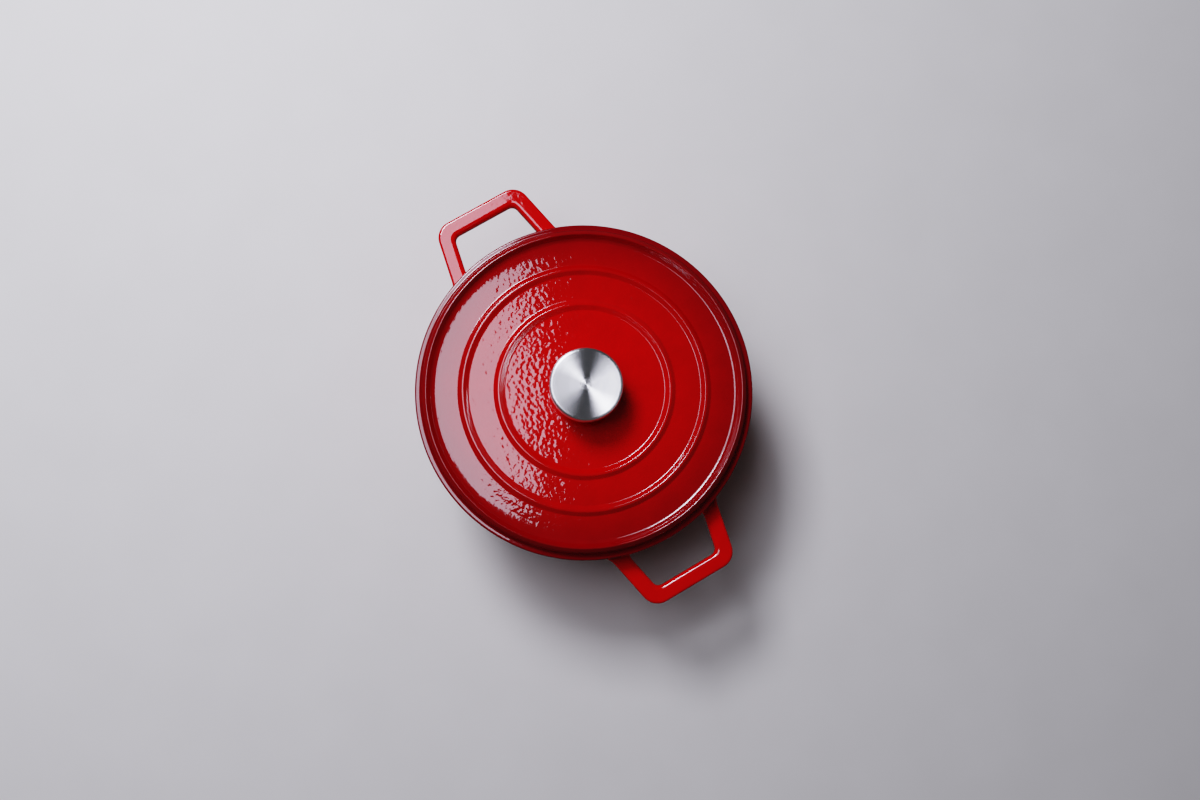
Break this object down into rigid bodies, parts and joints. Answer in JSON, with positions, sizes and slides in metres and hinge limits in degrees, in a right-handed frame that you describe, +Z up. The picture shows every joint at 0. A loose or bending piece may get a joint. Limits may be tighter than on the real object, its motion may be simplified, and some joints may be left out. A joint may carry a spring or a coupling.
{
  "type": "dutch oven",
  "caption": "Round enamelled cast iron dutch oven: deep pot with cast loop handles, ringed lid that lifts off, and a bolted-on round metal knob.",
  "frame": {"origin": "centre of the footprint, on the surface that the pot stands on", "axes": "+Z up along the pot's axis, through the knob; +X through the middle of one loop handle, -X through the other; +Y completes the right-handed set"},
  "size_m": [0.3372, 0.255, 0.1505],
  "materials": {
    "red_enamel": "gloss red vitreous enamel over cast iron",
    "stainless": "radially brushed top, satin side",
    "plain_steel": "plain zinc-bright steel",
    "silicone": "matt"
  },
  "bodies": {
    "pot": {"pot_body": "red_enamel"},
    "lid": {"lid": "red_enamel", "knob_gasket": "silicone", "flat_washer": "plain_steel"},
    "knob": {"knob_cap": "stainless", "knob_base": "stainless", "knob_insert": "plain_steel"},
    "screw": {"knob_screw": "plain_steel", "lock_washer": "plain_steel"}
  },
  "joints": [
    {"name": "lid_lift", "type": "slide", "parent": "pot", "child": "lid", "axis": [0, 0, 1], "range_m": [0, 0.16]},
    {"name": "knob_rise", "type": "slide", "parent": "lid", "child": "knob", "axis": [0, 0, 1], "range_m": [0, 0.01]},
    {"name": "screw_turn", "type": "hinge", "parent": "lid", "child": "screw", "pos_m": [0, 0, 0.12], "axis": [0, 0, -1], "range_deg": [0, 3600]}
  ],
  "couplings": [
    {"joint": "screw_turn", "follows": "knob_rise", "rad_per_m": 6283}
  ]
}
